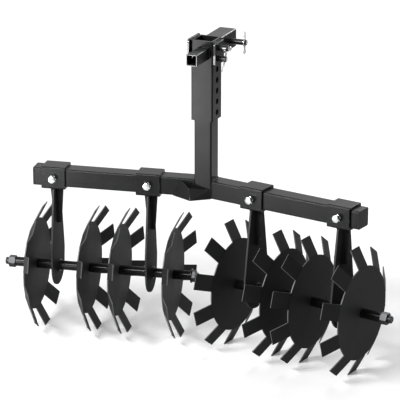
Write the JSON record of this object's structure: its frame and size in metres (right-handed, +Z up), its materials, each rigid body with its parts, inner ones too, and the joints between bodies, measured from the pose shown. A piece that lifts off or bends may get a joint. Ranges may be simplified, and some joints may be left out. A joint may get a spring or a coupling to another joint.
{
  "type": "disc harrow",
  "caption": "Tow-behind disc harrow: a shallow V beam on two gangs of notched blades with bent fingers, a height-adjustable mast and a short square drawbar.",
  "frame": {"origin": "on the ground under the middle of the overall footprint", "axes": "+X to the right as seen from behind, +Y forward in the towing direction, +Z up"},
  "size_m": [1.1542, 0.416, 0.8683],
  "materials": {
    "powder_coat": "satin black powder coat with fine texture",
    "disc_steel": "satin black painted blade",
    "zinc": "bright zinc plate",
    "dark_steel": "dark oiled steel",
    "cap_plastic": "matt black moulded plastic"
  },
  "bodies": {
    "frame": {"beam_left": "powder_coat", "beam_right": "powder_coat", "mast_tube": "powder_coat", "centre_gusset": "powder_coat", "end_cap_left": "cap_plastic", "end_cap_right": "cap_plastic"},
    "hitch_head": {"mast_sleeve": "powder_coat", "drawbar_tube": "powder_coat", "accessory_tube": "powder_coat", "side_plate_left": "powder_coat", "side_plate_right": "powder_coat"},
    "upper_pin": {"height_pin_upper": "dark_steel"},
    "upper_clip": {"height_clip_upper": "zinc"},
    "lower_pin": {"height_pin_lower": "dark_steel"},
    "lower_clip": {"height_clip_lower": "zinc"},
    "drawbar_pin": {"hitch_pin": "dark_steel"},
    "drawbar_clip": {"hitch_clip": "zinc"},
    "gang_frame_left": {"collar_1": "powder_coat", "collar_2": "powder_coat", "set_bolt_1": "zinc", "set_bolt_2": "zinc", "leg_1": "powder_coat", "leg_2": "powder_coat", "bush_1": "dark_steel", "bush_2": "dark_steel"},
    "gang_frame_right": {"collar_3": "powder_coat", "collar_4": "powder_coat", "set_bolt_3": "zinc", "set_bolt_4": "zinc", "leg_3": "powder_coat", "leg_4": "powder_coat", "bush_3": "dark_steel", "bush_4": "dark_steel"},
    "gang_left": {"gang_shaft_left": "dark_steel", "spacer_tube_left_1": "powder_coat", "spacer_tube_left_2": "powder_coat", "spacer_tube_left_3": "powder_coat", "spacer_tube_left_4": "powder_coat", "spacer_tube_left_5": "powder_coat", "disc_1": "disc_steel", "disc_2": "disc_steel", "disc_3": "disc_steel", "disc_4": "disc_steel", "inner_nut_left": "dark_steel", "outer_nut_left": "dark_steel", "shaft_washer_left": "dark_steel"},
    "gang_right": {"gang_shaft_right": "dark_steel", "spacer_tube_right_1": "powder_coat", "spacer_tube_right_2": "powder_coat", "spacer_tube_right_3": "powder_coat", "spacer_tube_right_4": "powder_coat", "spacer_tube_right_5": "powder_coat", "disc_5": "disc_steel", "disc_6": "disc_steel", "disc_7": "disc_steel", "disc_8": "disc_steel", "inner_nut_right": "dark_steel", "outer_nut_right": "dark_steel", "shaft_washer_right": "dark_steel"}
  },
  "joints": [
    {"name": "head_height", "type": "slide", "parent": "frame", "child": "hitch_head", "axis": [0, 0, 1], "range_m": [0, 0.15]},
    {"name": "upper_pin_slide", "type": "slide", "parent": "hitch_head", "child": "upper_pin", "axis": [-1, 0, 0], "range_m": [0, 0.003]},
    {"name": "upper_clip_pull", "type": "slide", "parent": "upper_pin", "child": "upper_clip", "axis": [0, 0.9755, -0.2198], "range_m": [0, 0.045], "deforming": ["height_clip_upper"]},
    {"name": "lower_pin_slide", "type": "slide", "parent": "hitch_head", "child": "lower_pin", "axis": [-1, 0, 0], "range_m": [0, 0.013]},
    {"name": "lower_clip_pull", "type": "slide", "parent": "lower_pin", "child": "lower_clip", "axis": [0, 0.5299, 0.848], "range_m": [0, 0.048], "deforming": ["height_clip_lower"]},
    {"name": "hitch_pin_slide", "type": "slide", "parent": "hitch_head", "child": "drawbar_pin", "axis": [-1, 0, 0], "range_m": [0, 0.04]},
    {"name": "hitch_clip_pull", "type": "slide", "parent": "drawbar_pin", "child": "drawbar_clip", "axis": [0, 0, -1], "range_m": [0, 0.045], "deforming": ["hitch_clip"]},
    {"name": "gang_left_slide", "type": "slide", "parent": "frame", "child": "gang_frame_left", "axis": [-0.9848, -0.1736, 0], "range_m": [-0.015, 0.02]},
    {"name": "gang_right_slide", "type": "slide", "parent": "frame", "child": "gang_frame_right", "axis": [0.9848, -0.1736, 0], "range_m": [-0.015, 0.02]},
    {"name": "gang_left_spin", "type": "hinge", "parent": "gang_frame_left", "child": "gang_left", "pos_m": [0, 0.04662, 0.1778], "axis": [0.9848, 0.1736, 0], "continuous": true},
    {"name": "gang_right_spin", "type": "hinge", "parent": "gang_frame_right", "child": "gang_right", "pos_m": [0, 0.04662, 0.1778], "axis": [0.9848, -0.1736, 0], "continuous": true}
  ]
}
